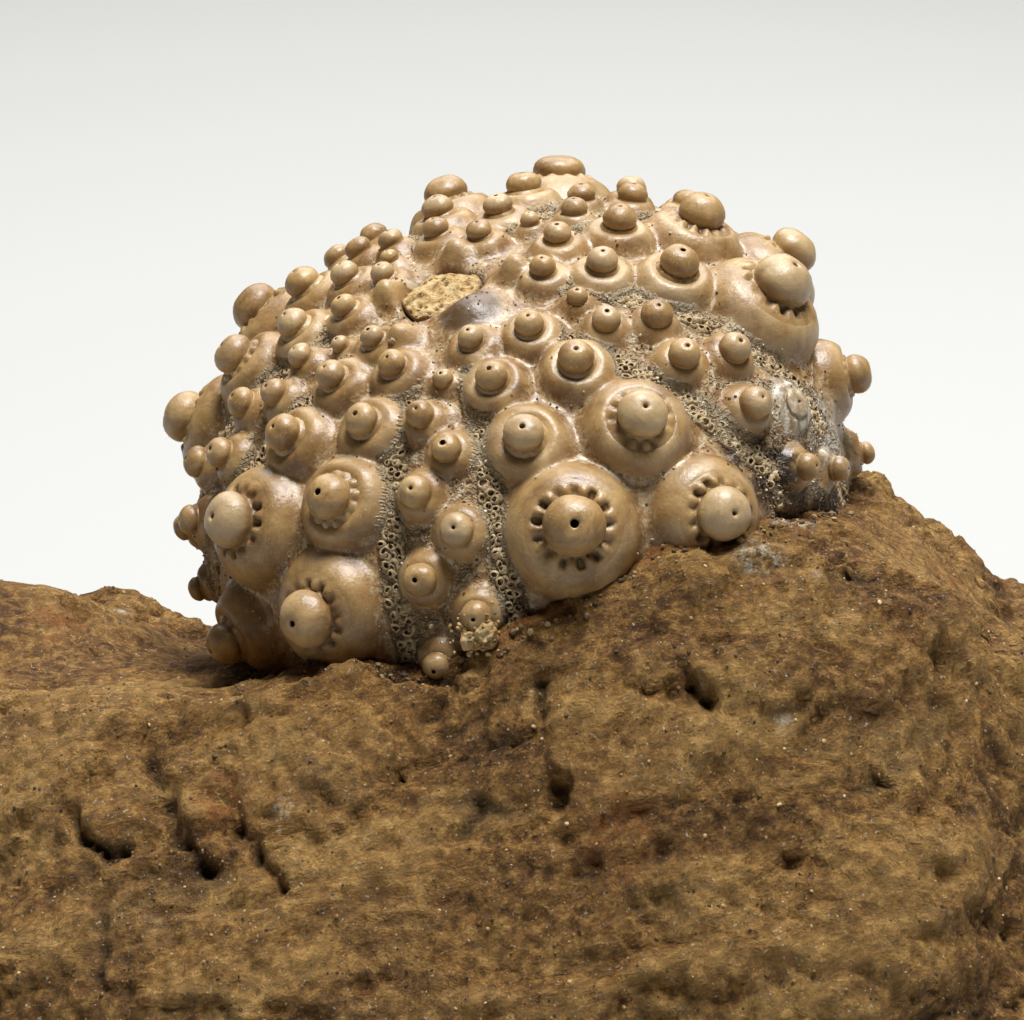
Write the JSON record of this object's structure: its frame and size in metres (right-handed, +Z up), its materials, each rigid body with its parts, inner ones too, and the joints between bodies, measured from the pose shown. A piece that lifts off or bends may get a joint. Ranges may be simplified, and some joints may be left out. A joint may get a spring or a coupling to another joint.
{
  "type": "fossil sea urchin in matrix",
  "caption": "Fossil sea urchin with a knobbly domed test, half bedded in a rough block of its matrix stone that rests on a flat foot.",
  "frame": {"origin": "on the ground, under the middle of the stone's box", "axes": "+Z up from the stone's flat foot, +X along the stone's length, -Y towards the front, where the test leans out of the stone"},
  "size_m": [0.088, 0.068, 0.052],
  "materials": {
    "fossil_calcite": "smooth, slightly waxy calcite",
    "fill_sediment": "pitted, matt sediment",
    "matrix_rock": "rough, granular, matt"
  },
  "bodies": {
    "root": {"urchin_test": "fossil_calcite", "sediment_plug": "fill_sediment", "matrix_stone": "matrix_rock"}
  },
  "joints": []
}
